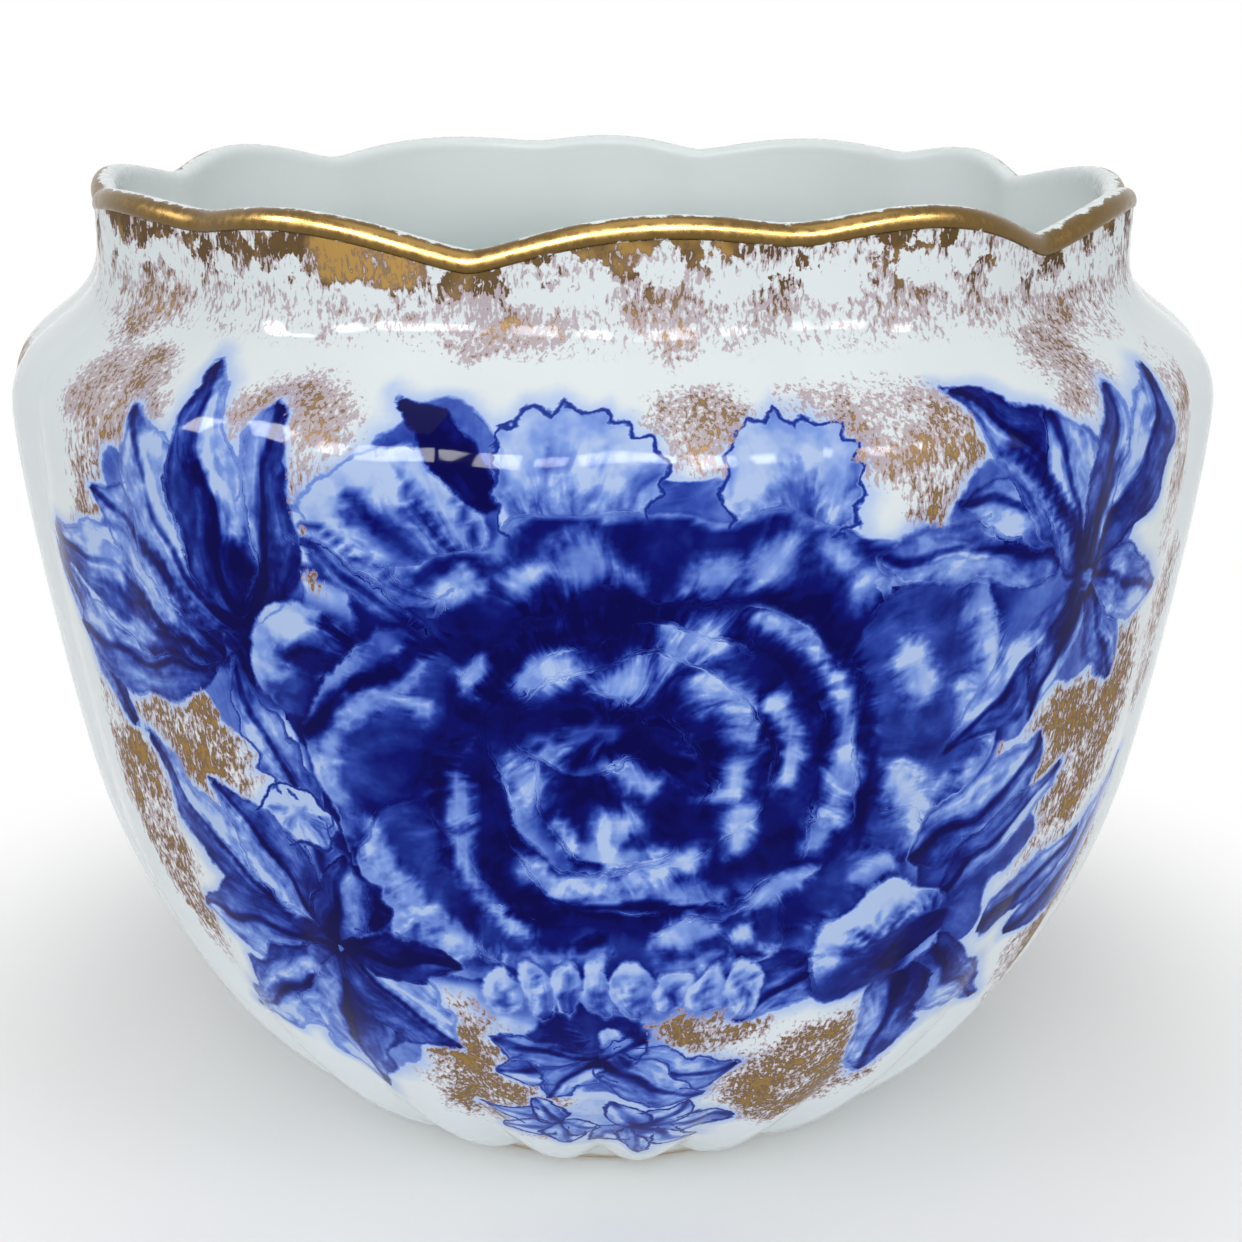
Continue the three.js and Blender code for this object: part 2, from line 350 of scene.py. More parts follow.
def leaf(base, tip, width, tones=(0.2, 0.4), bow=0.0, spine=0.3, root=0.35, pen=1.3, shadow=0.0,
         lobes=0):
    """A pointed blade, with the tone of its left and right half as it points up, how much darker
    its spine and its root are, and how many lobes its margin has."""
    faces, run, along, across, share = blade_frame(base, tip, width + HAZE_REACH, bow)
    half = width / 2 * np.sin(math.pi * share ** 0.8) ** 0.75
    half = half * (1 + 0.16 * np.sin(2 * math.pi * lobes * share)) if lobes else half
    past = np.maximum(-along, along - run)
    depth = np.where(past > 0, -np.hypot(past, across), half - np.abs(across))
    tone = tones[0] + (tones[1] - tones[0]) * smooth(across, -1.5, 1.5) + root * (1 - share) ** 2
    tone = tone + 0.2 * smooth(share, 0.75, 1) + 0.2 * (1 - smooth(depth, 0, 2))
    tone = tone + spine * np.exp(-(across / (2.2 - 1.5 * share)) ** 2)
    if shadow:
        shade(faces, depth, shadow, 2.5)
    lay(faces, depth, (across, GRAIN_APART * motif_count, along), np.clip(tone, 0.05, 1), 0.6, pen)


def stroke(start, end, width, tone, fray=1.0):
    """A soft touch of the brush that lightens or darkens what is painted so far."""
    faces, run, along, across, _ = blade_frame(start, end, width)
    beyond = np.maximum(np.abs(along - run / 2) - max(run - width, 0) / 2, 0)
    touch = 1 - smooth(np.hypot(beyond, across) / (width / 2), 0.3, 1.5)
    for layer in paint:
        layer[faces, :, TONE] += (tone - layer[faces, :, TONE]) * touch
        layer[faces, :, FRAY] = np.maximum(layer[faces, :, FRAY], 4 * touch * (1 - touch) * fray)


def uneven(bearing, seed):
    """A wave round a petal that comes back to itself, between about -1 and 1."""
    turn = np.radians(bearing)
    wave = 0.45 * np.sin(5 * turn + seed) + 0.35 * np.sin(9 * turn + 2.3 * seed)
    return wave + 0.25 * np.sin(16 * turn + 4.1 * seed)


def petal(centre, size, turn=0.0, lights=(), dark=0.85, root=None, lobes=5, wobble=0.03, pen=0.0,
          shadow=0.5):
    """A rounded petal that is dark but for the lights on its rim: middle and half width of each
    in degrees, how far in it reaches, and its tone. Its grain runs out from the root."""
    faces, right, up = offsets(centre, max(size) * 1.1 + HAZE_REACH)
    cos, sin = math.cos(math.radians(turn)), math.sin(math.radians(turn))
    x, y = (right * cos + up * sin) / size[0], (up * cos - right * sin) / size[1]
    bearing = np.degrees(np.arctan2(y, x))
    mean = (size[0] + size[1]) / 2
    rho = np.hypot(x, y)
    depth = (1 + wobble * np.sin(np.radians(lobes * bearing + 50 * motif_count)) - rho) * mean
    tone = np.full(depth.shape, dark)
    fray = np.full(depth.shape, 0.2)
    ragged = 1 + 0.5 * uneven(bearing, motif_count)
    for middle, half_width, reach, light in lights:
        window = 1 - smooth(np.abs(shortest(bearing - middle)) / half_width, 0.5, 1.2)
        lit = window * (1 - smooth(depth / ragged, reach * 0.4, reach * 1.3))
        tone -= (tone - light) * lit
        fray = np.maximum(fray, 4 * lit * (1 - lit))
    if shadow:
        shade(faces, depth, shadow, 2.2)
    from_x, from_y = 0.0, 0.0
    if root:
        from_x = radius_at(root[1]) * math.radians(shortest(root[0] - centre[0]))
        from_y = arc_at(root[1]) - arc_at(centre[1])
    away = np.hypot(right - from_x, up - from_y)
    fan = max(math.hypot(from_x, from_y), mean)
    spin = np.maximum(away, 0.1 * fan) / fan
    grain = ((right - from_x) / spin, (up - from_y) / spin + GRAIN_APART * motif_count, away)
    lay(faces, depth, grain, tone, fray * smooth(away, 0.1 * fan, 0.6 * fan), pen)


def spray(shift):
    """One full print: the open rose with its leaves, buds and the small flowers below it."""
    def at(turn, height):
        return (turn + shift, height)

    def brush(touches, wider, tone):
        for start, end, width in touches:
            stroke(at(*start), at(*end), width * wider, tone)

    heart = at(0, 142)

    # Blue ground that ties the petals and leaves together
    petal(at(0, 136), (64, 52), dark=0.78, lobes=9, wobble=0.05, shadow=0)
    petal(at(-36, 163), (32, 24), -35, dark=0.4, lobes=7, wobble=0.1, shadow=0)
    petal(at(-3, 179), (52, 15), dark=0.5, lobes=7, wobble=0.08, shadow=0)
    petal(at(35, 163), (34, 30), 25, dark=0.45, lobes=7, wobble=0.1, shadow=0)
    petal(at(27, 99), (34, 22), 20, dark=0.55, lobes=7, wobble=0.1, shadow=0)
    petal(at(-26, 76), (20, 26), dark=0.35, lobes=7, wobble=0.12, shadow=0)

    # Upper left leaves
    leaf(at(-49, 132), at(-59, 166), 12, (0.15, 0.35), 0.05)
    leaf(at(-48, 126), at(-56, 160), 10, (0.12, 0.4), 0)
    leaf(at(-34.5, 148), at(-56, 147), 19, (0.35, 0.14), -0.05)
    leaf(at(-33.3, 150), at(-58, 167), 22, (0.5, 0.14), 0.05)
    leaf(at(-33.3, 150), at(-48, 182), 24, (0.16, 0.3), 0.06, lobes=3)
    leaf(at(-31, 156), at(-42, 200), 22, (0.14, 0.18), -0.08, lobes=3)
    leaf(at(-30, 158), at(-26.4, 203), 18, (0.22, 0.5), 0.04)
    leaf(at(-31, 160), at(-35, 209), 18, (0.55, 0.14), -0.02)
    stroke(at(-44, 168), at(-38, 158), 5, 0.16)
    stroke(at(-51, 165), at(-45, 160), 4, 0.16)
    stroke(at(-53, 150), at(-42, 152), 4.5, 0.16)
    stroke(at(-39, 186), at(-36, 172), 5, 0.16)
    stroke(at(-33, 194), at(-32, 176), 5, 0.16)
    stroke(at(-31, 150), at(-34, 192), 4, 0.95)
    stroke(at(-33, 148), at(-44, 159), 3.5, 0.9)
    stroke(at(-32, 152), at(-41, 172), 3, 0.85)
    stroke(at(-30, 146), at(-31, 176), 7, 0.95)

    # Veined petal, bud and dark leaf left of the middle
    petal(at(-13, 195), (13, 12), 0, dark=0.46, root=at(-8, 170), pen=0.2, shadow=0)
    petal(at(-16.5, 182), (17, 15), 0, [(110, 160, 14, 0.15)], 0.5, root=at(-8, 166), pen=0.3,
          shadow=0.2)
    for turn, height in ((-12, 190), (-16, 191), (-20, 188), (-24, 181), (-27, 173)):
        stroke(at(-8, 166), at(turn, height), 1.8, 0.66, fray=0.15)
    leaf(at(-8, 188), at(-17.5, 206), 9, (0.9, 0.8), -0.05)
    leaf(at(-13, 160), at(-26, 179), 5.5, (0.2, 0.25), 0.03, spine=0)
    petal(at(-24.5, 153), (14, 12.5), 20, [(120, 100, 9, 0.14), (-40, 70, 8, 0.16)], 0.6,
          root=at(-18, 160), pen=0.3)
    stroke(at(-26, 155), at(-22.5, 153), 4, 0.95)
    stroke(at(-23, 164), at(-20, 158), 4, 0.9)

    # Scalloped pale leaves, and the dark fold above the rose with the lights of its crown
    for turn, height, wide, tall in ((-2.8, 191, 15, 16), (13.6, 190, 14.5, 14)):
        petal(at(turn, height), (wide, tall), 0, [(90, 150, 13, 0.2)], 0.42,
              root=at(turn, height - 22), lobes=17, wobble=0.06, pen=0.65, shadow=0)
        stroke(at(turn, height - 4), at(turn, height + 7), 3, 0.4)
        for side in (-1, 1):
            stroke(at(turn + 4 * side, height - 5), at(turn + 5.5 * side, height + 4), 2.5, 0.35)
    petal(at(4, 173), (47, 13.5), 0, [(90, 110, 3.2, 0.4)], 0.84, root=heart, lobes=7, wobble=0.1,
          shadow=0.15)
    brush((
        ((-6, 167), (-7, 178), 7), ((-2, 169), (-1.5, 183), 11), ((2, 169), (3, 176), 6),
        ((-11, 168), (-13, 174), 6), ((6, 171), (9, 177), 8), ((11, 171), (13, 182), 10),
        ((16, 172), (18, 178), 7), ((18, 168), (22, 173), 8), ((22, 174), (27, 180), 8),
        ((23, 163), (29, 168), 8),
    ), 1.3, 0.2)

    # Outer petals of the rose
    petal(at(-15.5, 128), (23, 35), 14, [(150, 55, 7, 0.26), (205, 26, 8, 0.3)], 0.62, root=heart,
          shadow=0.8)
    petal(at(-14, 105), (19, 23), 20, [(175, 40, 6, 0.26), (262, 46, 7, 0.3)], 0.66, root=heart,
          shadow=0.8)
    petal(at(25, 138), (21, 36), -8, [(20, 60, 9, 0.27), (-40, 35, 7, 0.3)], 0.62, root=heart,
          shadow=0.7)
    petal(at(19, 108), (24, 19), -20, [(-60, 60, 8, 0.27), (20, 30, 6, 0.3)], 0.64, root=heart,
          shadow=0.6)
    petal(at(2, 96), (33, 15), 0, [(-90, 80, 8, 0.27)], 0.7, root=heart, shadow=0.7)

    # The rose's own petals, from the outermost in
    petal(at(3.2, 134.5), (43, 37), 4, [(18, 46, 6, 0.26), (-62, 22, 8, 0.3)], 0.9, root=heart,
          shadow=0.95)
    petal(at(3.4, 133), (33.5, 32.5), 0, [(258, 50, 8, 0.27), (75, 20, 6, 0.33)], 0.9, root=heart,
          shadow=0.95)
    petal(at(1.4, 135), (27, 24), 5, [(205, 40, 9, 0.26), (30, 30, 6, 0.3)], 0.9, root=heart,
          shadow=0.9)
    petal(at(0.8, 130), (17, 17), 0, [(262, 45, 6, 0.3)], 0.92, root=heart, shadow=0.8)
    petal(at(-2.6, 142), (13, 9), -10, [(262, 70, 4, 0.6)], 0.97, root=heart, shadow=0.7)

    # Lights brushed over its petals, then the deep shadows between them
    brush((
        ((-7, 153), (-2, 159), 6), ((-2, 150), (3, 157), 9), ((3, 157), (9, 164), 9),
        ((5, 151), (12, 149), 8), ((10, 149), (10, 140), 8), ((11, 165), (17, 157), 3.5),
        ((18, 157), (20, 136), 4), ((20, 136), (18, 119), 5.5), ((18, 124), (16, 114), 5.5),
        ((13, 152), (15, 140), 4.5), ((15, 140), (13, 127), 6), ((10, 138), (8, 127), 6),
        ((10, 127), (11, 113), 6), ((-9, 137), (-5, 127), 9), ((-5, 124), (-4, 118), 3),
        ((-2, 121), (3, 125), 8.5), ((-8, 112), (0, 109), 5), ((0, 108), (8, 115), 6.5),
        ((-13, 135), (-13, 120), 5.5), ((-13, 120), (-11, 106), 5), ((-11, 105), (-6, 96), 5),
        ((3, 96), (9, 99), 5), ((12, 103), (17, 110), 6.5), ((10, 94), (13, 99), 5),
        ((-14, 158), (-22, 140), 5.5), ((-22, 140), (-24, 126), 4.5),
        ((-21, 122), (-20, 109), 5.5), ((-20, 109), (-15, 88), 4.5), ((22, 158), (26, 145), 6),
        ((24, 132), (29, 114), 8), ((29, 150), (31, 138), 6), ((31, 160), (33, 150), 5),
        ((28, 124), (31, 116), 5), ((21, 103), (25, 110), 5.5), ((-12, 176), (-9, 170), 4),
        ((-17, 100), (-13, 92), 5), ((-7, 91), (0, 90), 4.5), ((4, 90), (10, 91), 4.5),
        ((-19, 150), (-15, 144), 3.5), ((-9, 158), (-12, 150), 3), ((0, 136), (4, 131), 4),
        ((-1, 113), (5, 118), 4),
    ), 1.2, 0.22)
    brush((
        ((-6, 162), (-14, 134), 3.5), ((-14, 134), (-14, 108), 3), ((-6, 162), (6, 170), 4),
        ((6, 170), (16, 167), 3.5), ((16, 167), (22, 137), 3.5), ((22, 137), (21, 111), 3.5),
        ((-4, 144), (6, 138), 10), ((6, 141), (7, 129), 8), ((16, 156), (18, 132), 3),
        ((12, 151), (12.5, 130), 2.7), ((-9, 104), (8, 102), 2.7), ((-2, 95), (-2, 92), 4.5),
        ((-5, 173), (-6, 162), 7.5), ((-26, 135), (-22, 148), 5), ((-22, 148), (-12, 161), 4.5),
    ), 1, 0.97)
    for spread in range(-4, 5):
        fringe_end = at(-3 + 1.25 * spread, 138.5 + 0.12 * spread ** 2)
        stroke(at(-3 + 0.35 * spread, 143.5), fringe_end, 1.3, 0.5, fray=0)

    # Upper right leaves
    leaf(at(38, 168), at(20, 176), 15, (0.14, 0.35), 0.06)
    leaf(at(38, 172), at(27, 187), 12, (0.2, 0.35), 0.06)
    leaf(at(41, 165), at(27.5, 205), 20, (0.35, 0.6), 0.08)
    leaf(at(41.5, 166), at(36.5, 200), 20, (0.14, 0.16), 0, lobes=2)
    leaf(at(42.6, 166), at(54, 204), 22, (0.16, 0.5), 0.05, lobes=3)
    leaf(at(42.2, 166), at(46, 202), 13, (0.45, 0.16), 0)
    leaf(at(41, 162), at(29, 132), 18, (0.5, 0.14), -0.06)
    leaf(at(42, 160), at(38, 134), 12, (0.14, 0.4), 0)
    leaf(at(43, 162), at(50, 136), 12, (0.2, 0.4), 0)
    leaf(at(43, 165), at(57, 156), 14, (0.35, 0.16), 0.05)
    brush((
        ((36, 188), (38, 176), 5), ((50, 192), (46, 178), 4.5), ((30, 180), (34, 176), 4),
        ((25, 174), (31, 171), 5), ((35, 146), (38, 154), 4.5), ((50, 160), (46, 163), 4),
    ), 1, 0.16)
    stroke(at(41.5, 168), at(32, 197), 3.5, 0.95)
    stroke(at(41.5, 178), at(40.5, 146), 5, 0.97)
    stroke(at(42.5, 168), at(46, 190), 3.5, 0.9)

    # Leaves and bud on the right
    leaf(at(27, 108), at(41, 132), 17, (0.16, 0.35), 0.08)
    leaf(at(45, 75), at(60, 110), 18, (0.16, 0.35), 0.05)
    leaf(at(31, 96), at(46, 119), 13, (0.35, 0.16), -0.06)
    leaf(at(38, 84), at(52, 100), 13, (0.2, 0.4), 0.04)
    leaf(at(31, 84), at(46, 57), 17, (0.45, 0.16), 0.05)
    leaf(at(29, 80), at(29.5, 42), 18, (0.5, 0.18), -0.08, lobes=2)
    leaf(at(21, 86), at(11.5, 72), 13, (0.2, 0.45), 0.05)
    petal(at(25.9, 89), (16, 15), 0, [(120, 95, 13, 0.1), (-30, 30, 5, 0.25)], 0.75,
          root=at(31, 84), pen=0.3)
    petal(at(29.5, 86), (10, 5), 35, [], 0.95, shadow=0.2)

    # Scalloped margin and spray of blades at the lower left
    leaf(at(-25.5, 116), at(-32.5, 150), 13, (0.12, 0.35), -0.05, pen=1.6, lobes=5)
    leaf(at(-21, 92), at(-29, 122), 14, (0.1, 0.5), -0.05, pen=1.6, lobes=4)
    petal(at(-28.3, 117), (9, 7), 10, [(140, 170, 7, 0.1)], 0.5, lobes=6, wobble=0.1, pen=0.7,
          shadow=0)
    leaf(at(-26.8, 85), at(-47, 128), 18, (0.45, 0.14), -0.04)
    leaf(at(-26.8, 85), at(-37, 122), 18, (0.14, 0.45), 0.06)
    leaf(at(-26.8, 85), at(-24, 112), 12, (0.55, 0.3), 0.05)
    leaf(at(-26.8, 85), at(-45, 83), 18, (0.16, 0.5), 0.08, lobes=2)
    leaf(at(-27, 84), at(-46, 54), 24, (0.2, 0.35), -0.05, lobes=4)
    leaf(at(-26.5, 84), at(-28.5, 39), 22, (0.5, 0.16), 0.05, lobes=3)
    leaf(at(-26, 85), at(-16, 59), 22, (0.16, 0.45), -0.05, lobes=3)
    leaf(at(-26, 86), at(-14.5, 88), 11, (0.7, 0.6), 0.05)
    stroke(at(-38, 108), at(-30, 93), 3.5, 0.16)
    stroke(at(-38, 68), at(-31, 78), 4.5, 0.16)

    # Small flowers at the bottom, on a blue ground of their own
    petal(at(-2.7, 69), (12, 11), dark=0.66, lobes=7, wobble=0.1, shadow=0)
    petal(at(1.5, 56), (19, 9), dark=0.4, lobes=9, wobble=0.12, shadow=0)
    petal(at(-1, 37), (18, 9), dark=0.14, lobes=9, wobble=0.12, shadow=0)
    for index in range(8):
        middle = at(-10.5 + 3.2 * index, 82 - 0.12 * (index - 3.5) ** 2)
        petal(middle, (4, 8), 0, [(90, 180, 5, 0.12)], 0.5, root=heart, shadow=0.3)
    petal(at(-0.6, 67.5), (3.6, 4.2), 0, [(90, 180, 4, 0.15)], 0.5, shadow=0.3)
    for turn, height, width in (
        (-12, 56, 13), (14, 57, 17), (-12, 66, 9), (4, 68, 9), (10, 47, 15), (-7, 47, 13),
    ):
        leaf(at(-1.6, 60), at(turn, height), width, (0.1, 0.3), 0.05, spine=0.25, root=0.25, pen=1.6,
             shadow=0.15, lobes=3)
    stroke(at(-6, 76), at(-4.5, 64), 5, 0.92)
    stroke(at(2.5, 73), at(3, 66), 5, 0.85)
    stroke(at(-3.5, 59.5), at(1.5, 59), 4.5, 0.92)
    for middle, tips in (
        (-7, ((-16, 41), (-14, 30), (-6, 26), (-1, 31), (-9, 47))),
        (4, ((-3, 24), (4, 20), (12, 25), (15, 36), (8, 46), (0, 45))),
    ):
        for tip in tips:
            leaf(at(middle, 36), at(*tip), 9, (0.05, 0.14), 0.05, spine=0.2, root=0.15, pen=1.75)


spray(0)
spray(180)

# Sponged gilding: centre, half width, half height, lean of the brush, strength and richness of
# each patch
GILDED = [
    ((-46, 200), (17, 12), 8, 1.1, 0.05), ((-47, 178), (12, 14), 10, 1.1, 0.8),
    ((-25, 199), (13, 12), 0, 1.1, 0.05), ((-25, 180), (10, 14), 0, 1.1, 0.75),
    ((6.5, 200), (12, 11), 0, 0.98, 0.4), ((22, 199), (21, 12), -10, 1.05, 0.1),
    ((27, 188), (13, 13), -10, 1.1, 0.75), ((43, 206), (12, 13), 0, 1.05, 0.2),
    ((58, 184), (9, 24), 0, 1.0, 0.35), ((-40, 134), (19, 21), 8, 1.2, 0.95),
    ((-49, 104), (10, 36), 12, 1.1, 0.8), ((-30, 103), (8, 17), 20, 1.1, 0.8),
    ((-14.5, 53), (13, 30), 8, 1.2, 0.9), ((10, 72), (12, 13), 0, 1.15, 0.9),
    ((22, 50), (21, 22), -10, 1.2, 0.9), ((30.5, 145), (10, 26), 0, 1.0, 0.95),
    ((47, 124), (20, 30), -14, 1.15, 0.85), ((55, 78), (12, 28), -14, 1.1, 0.7),
    ((61, 142), (8, 20), 0, 1.0, 0.5), ((-22, 228), (16, 6), 0, 1.5, 1.0),
    ((5, 222), (10, 11), 0, 0.95, 0.45), ((17, 230), (30, 4), 0, 1.1, 1.0),
    ((-9, 219), (13, 9), 0, 1.0, 0.1), ((50, 220), (18, 14), 0, 1.05, 0.35),
    ((-50, 220), (18, 13), 0, 1.1, 0.5), ((76, 152), (13, 26), 14, 1.0, 0.5),
    ((-76, 122), (13, 25), -14, 1.0, 0.5), ((80, 84), (11, 24), -10, 1.05, 0.8),
    ((-80, 194), (13, 10), 0, 1.0, 0.35), ((-8, 38), (10, 14), 0, 1.1, 0.9),
    ((33, 118), (9, 14), -20, 1.1, 0.9),
]
PATCH_SOLID, PATCH_END = 0.6, 1.35
gilding = np.zeros((len(printed), 4))
richness = 0.15 + 0.6 * smooth(CORNER_ARC, arc_at(214), arc_at(226))
for shift in (0, 180):
    for (turn, height), (wide, tall), lean, strength, rich in GILDED:
        faces, right, up = offsets((turn + shift, height), max(wide, tall) * 1.5)
        cos, sin = math.cos(math.radians(lean)), math.sin(math.radians(lean))
        rho = np.hypot((right * cos + up * sin) / wide, (up * cos - right * sin) / tall)
        patch = strength * (1 - smooth(rho, PATCH_SOLID, PATCH_END))
        richness[faces] += (rich - richness[faces]) * (1 - smooth(rho, 0.9, PATCH_END))
        gilding[faces] = np.maximum(gilding[faces], patch)

# Under the lip the gilding closes to a band, with clouds where it was wiped off and where its gold is
# darkened by painted shade
neck_band = 0.8 * smooth(CORNER_ARC, arc_at(209), arc_at(223))
neck_band += 0.8 * smooth(CORNER_ARC, arc_at(222), arc_at(230))
wiped_and_shaded_clouds = smooth(CORNER_ARC, arc_at(218), arc_at(224)) * (1 - smooth(gilding, 1.15, 1.3))
gilding = np.maximum(gilding, neck_band)
gilding *= 1 - smooth(near, -1.8, 0.2)


def paint_attribute(name, values, kind="FLOAT_COLOR", key="color", rest=0.0):
    """Stores values on the corners of the printed faces, and rest on all other corners."""
    layer = mesh.attributes.new(name, kind, "CORNER")
    whole = np.full((len(corner), 4) + values.shape[2:], rest, np.float32)
    whole[printed] = values
    layer.data.foreach_set(key, whole.ravel())


LAYERS = ("print_ground", "print_over", "print_top", "print_last")
for layer, name in enumerate(LAYERS):
    paint_attribute(name, paint[layer, ..., :4])
paint_attribute("print_edges", np.stack([*edge[1:], near], -1), rest=BARE)
paint_attribute("print_fray", np.moveaxis(paint[..., FRAY], 0, -1))
paint_attribute("print_pen", np.moveaxis(paint[..., PEN], 0, -1))
gilding = np.stack([gilding, richness, wiped_and_shaded_clouds], -1)
paint_attribute("gilding", gilding, "FLOAT_VECTOR", "vector")


class Finish:
    """A node material that is built up a node at a time."""

    def __init__(self, name):
        self.material = bpy.data.materials.new(name)
        self.material.use_nodes = True
        self.tree = self.material.node_tree
        self.shader = self.tree.nodes["Principled BSDF"]
        self.place = self.node("ShaderNodeTexCoord").outputs["Object"]

    def node(self, kind, inputs=None, **settings):
        made = self.tree.nodes.new(kind)
        for key, value in settings.items():
            setattr(made, key, value)
        for key, value in (inputs or {}).items():
            self.feed(made.inputs[key], value)
        return made

    def feed(self, socket, value):
        """Links what another node gives to a socket, or sets the socket to a plain value."""
        if isinstance(value, bpy.types.NodeSocket):
            self.tree.links.new(value, socket)
        else:
            socket.default_value = value

    def math(self, operation, first, second=0.0):
        return self.node("ShaderNodeMath", {0: first, 1: second}, operation=operation).outputs[0]

    def ease(self, value, start, end, low=0.0, high=1.0):
        """Goes from low to high, with an even bend, while the value goes from start to end."""
        inputs = {"Value": value, "From Min": start, "From Max": end, "To Min": low, "To Max": high}
        return self.node("ShaderNodeMapRange", inputs, interpolation_type="SMOOTHSTEP").outputs[0]

    def noise(self, vector, scale, detail=2.0, roughness=0.5, distortion=0.0):
        inputs = {"Vector": vector, "Scale": scale, "Detail": detail, "Roughness": roughness,
                  "Distortion": distortion}
        return self.node("ShaderNodeTexNoise", inputs).outputs["Fac"]

    def sway(self, *settings):
        """Noise that wanders about 0, up to about a half either way."""
        return self.math("SUBTRACT", self.noise(*settings), 0.5)

    def mix(self, factor, first, second, kind="RGBA"):
        socket = {"RGBA": 6, "VECTOR": 4, "FLOAT": 2}[kind]
        made = self.node("ShaderNodeMix", data_type=kind)
        self.feed(made.inputs[0], factor)
        self.feed(made.inputs[socket], first)
        self.feed(made.inputs[socket + 1], second)
        return made.outputs[{"RGBA": 2, "VECTOR": 1, "FLOAT": 0}[kind]]

    def ramp(self, value, stops):
        made = self.node("ShaderNodeValToRGB", {"Fac": value})
        ramp = made.color_ramp
        while len(ramp.elements) < len(stops):
            ramp.elements.new(0.5)
        for element, (place, colour) in zip(ramp.elements, stops):
            element.position = place
            element.color = (*colour, 1)
        return made.outputs["Color"]


GLAZE_WHITE = (0.74, 0.80, 0.82)
# The inside colours are painted lighter than GLAZE_WHITE, though it is the same glaze: painted light
# that makes up for the shade inside the pot.
INSIDE_DEEP_LIGHTENED = (0.83, 0.89, 0.885)
INSIDE_PALE_LIGHTENED = (0.87, 0.92, 0.915)
GLAZE_SPECULAR = 0.05


def lightened_inside_glaze(finish):
    """The uneven, slightly cooler glaze that the wall's inside and the floor share, painted lighter
    than the outside white as painted light against the shade inside the pot.
    """
    return finish.mix(finish.noise(finish.place, 25, 3), (*INSIDE_DEEP_LIGHTENED, 1), (*INSIDE_PALE_LIGHTENED, 1))


glaze = Finish("printed_glaze")


def painted(name):
    """What the glaze reads of an attribute that the wall's mesh stores."""
    return glaze.node("ShaderNodeAttribute", attribute_name=name).outputs


def parts(name, kind="Color"):
    """The values of a painted attribute: three, and with the alpha a fourth."""
    stored = painted(name)
    return [*glaze.node("ShaderNodeSeparateXYZ", {"Vector": stored[kind]}).outputs, stored["Alpha"]]


edges, frays, pens = (parts(name) for name in ("print_edges", "print_fray", "print_pen"))
ragged = glaze.math("MULTIPLY", glaze.sway(glaze.place, 260, 3, 0.6), 3.4)
grain, tone = painted("print_ground")["Color"], painted("print_ground")["Alpha"]
fray, pen, outline = frays[0], pens[0], 0.0
for layer, name in enumerate(LAYERS[1:]):
    depth = glaze.math("ADD", edges[layer], ragged)
    mask = glaze.ease(depth, -0.8, 0.8)
    grain = glaze.mix(mask, grain, painted(name)["Color"], "VECTOR")
    tone = glaze.mix(mask, tone, painted(name)["Alpha"], "FLOAT")
    fray = glaze.mix(mask, fray, frays[layer + 1], "FLOAT")
    pen = glaze.mix(mask, pen, pens[layer + 1], "FLOAT")
    drawn = glaze.math("FRACT", pens[layer + 1])
    line = glaze.math("MULTIPLY", drawn, glaze.ease(glaze.math("ABSOLUTE", depth), 0.1, 0.9, 1, 0))
    outline = glaze.math("MAXIMUM", outline, line)

# The grain frays the edges of the lights into combs, and the cloud varies every wash of ink
fibres = glaze.node("ShaderNodeMapping", {"Vector": grain, "Scale": (0.26, 0.26, 0.1)}).outputs[0]
fibre = glaze.sway(fibres, 1.0, 2.5, 0.55, 0.4)
cloud = glaze.sway(glaze.place, 95, 3, 0.55)
mottle = glaze.sway(glaze.place, 240, 3, 0.6)
inked = glaze.ease(tone, 0.02, 0.15)
torn = glaze.math("ADD", glaze.math("MULTIPLY", fibre, 1.65), glaze.math("MULTIPLY", mottle, 0.75))
wash = glaze.math("ADD", glaze.math("MULTIPLY", cloud, 0.6), glaze.math("MULTIPLY", torn, fray))
tone = glaze.math("ADD", tone, glaze.math("MULTIPLY", wash, inked))
ribbed = glaze.math("GREATER_THAN", pen, 0.95)
across = glaze.node("ShaderNodeSeparateXYZ", {"Vector": grain}).outputs[0]
midrib = glaze.ease(glaze.math("ABSOLUTE", across), 0.2, 1.4, 0.26, 0)
tone = glaze.math("MAXIMUM", glaze.math("ADD", tone, glaze.math("MULTIPLY", midrib, ribbed)), outline)
blurred = glaze.math("ADD", edges[3], glaze.math("MULTIPLY", ragged, 0.7))
tone = glaze.math("MAXIMUM", tone, glaze.ease(blurred, -5.5, 0.5, 0, 0.12))
blue = glaze.ramp(tone, [
    (0.0, GLAZE_WHITE), (0.10, (0.47, 0.59, 0.82)), (0.24, (0.205, 0.33, 0.74)),
    (0.40, (0.088, 0.163, 0.55)), (0.52, (0.031, 0.072, 0.41)), (0.66, (0.008, 0.024, 0.24)),
    (0.82, (0.002, 0.004, 0.145)), (1.0, (0.0005, 0.0002, 0.07)),
])

